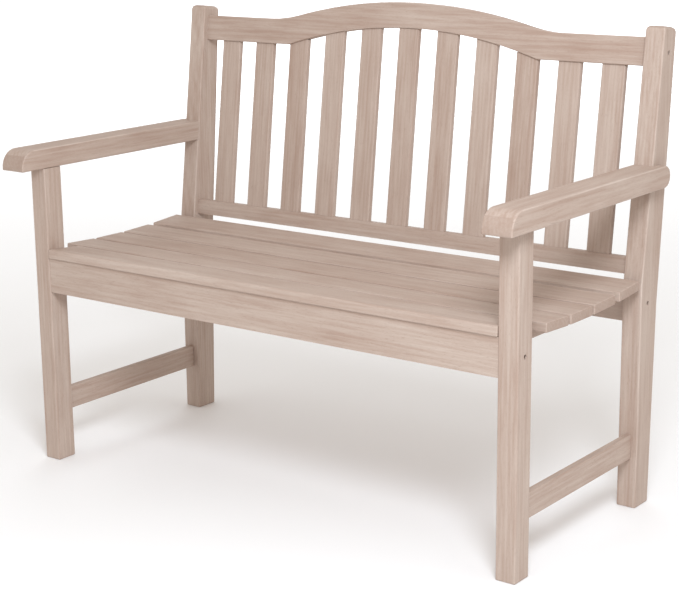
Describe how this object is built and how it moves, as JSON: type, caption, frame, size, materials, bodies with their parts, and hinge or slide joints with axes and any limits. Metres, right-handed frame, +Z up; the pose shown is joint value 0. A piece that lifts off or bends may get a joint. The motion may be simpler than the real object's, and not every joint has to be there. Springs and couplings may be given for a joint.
{
  "type": "garden bench",
  "caption": "Wooden garden bench with a slatted dished seat, flat arms, and a raked slatted back under a camelback top rail.",
  "frame": {"origin": "middle of the bench's bounding box in X and Y, on the ground", "axes": "+X to the right as seen by someone facing the seat, -Y the way the sitter faces, +Z up"},
  "size_m": [1.138, 0.5792, 0.8945],
  "materials": {
    "wood": "whitewashed satin stain",
    "steel": "zinc plated"
  },
  "bodies": {
    "root": {"front_leg_left": "wood", "front_leg_right": "wood", "back_post_left": "wood", "back_post_right": "wood", "arm_left": "wood", "arm_right": "wood", "side_stretcher_left": "wood", "side_stretcher_right": "wood", "front_apron": "wood", "back_seat_rail": "wood", "seat_bearer_left": "wood", "seat_bearer_centre": "wood", "seat_bearer_right": "wood", "seat_slat_1": "wood", "seat_slat_2": "wood", "seat_slat_3": "wood", "seat_slat_4": "wood", "seat_slat_5": "wood", "top_rail": "wood", "lower_back_rail": "wood", "back_slat_01": "wood", "back_slat_02": "wood", "back_slat_03": "wood", "back_slat_04": "wood", "back_slat_05": "wood", "back_slat_06": "wood", "back_slat_07": "wood", "back_slat_08": "wood", "back_slat_09": "wood", "back_slat_10": "wood", "back_slat_11": "wood", "apron_bolt_left": "steel", "apron_bolt_right": "steel", "apron_barrel_nut_left": "steel", "apron_barrel_nut_right": "steel", "seat_rail_bolt_left": "steel", "seat_rail_bolt_right": "steel", "seat_rail_barrel_nut_left": "steel", "seat_rail_barrel_nut_right": "steel", "top_rail_bolt_left": "steel", "top_rail_bolt_right": "steel", "top_rail_barrel_nut_left": "steel", "top_rail_barrel_nut_right": "steel", "arm_bolt_left": "steel", "arm_bolt_right": "steel", "slat_screw_left_1": "steel", "slat_screw_left_2": "steel", "slat_screw_left_3": "steel", "slat_screw_left_4": "steel", "slat_screw_left_5": "steel", "slat_screw_centre_1": "steel", "slat_screw_centre_2": "steel", "slat_screw_centre_3": "steel", "slat_screw_centre_4": "steel", "slat_screw_centre_5": "steel", "slat_screw_right_1": "steel", "slat_screw_right_2": "steel", "slat_screw_right_3": "steel", "slat_screw_right_4": "steel", "slat_screw_right_5": "steel"}
  },
  "joints": []
}
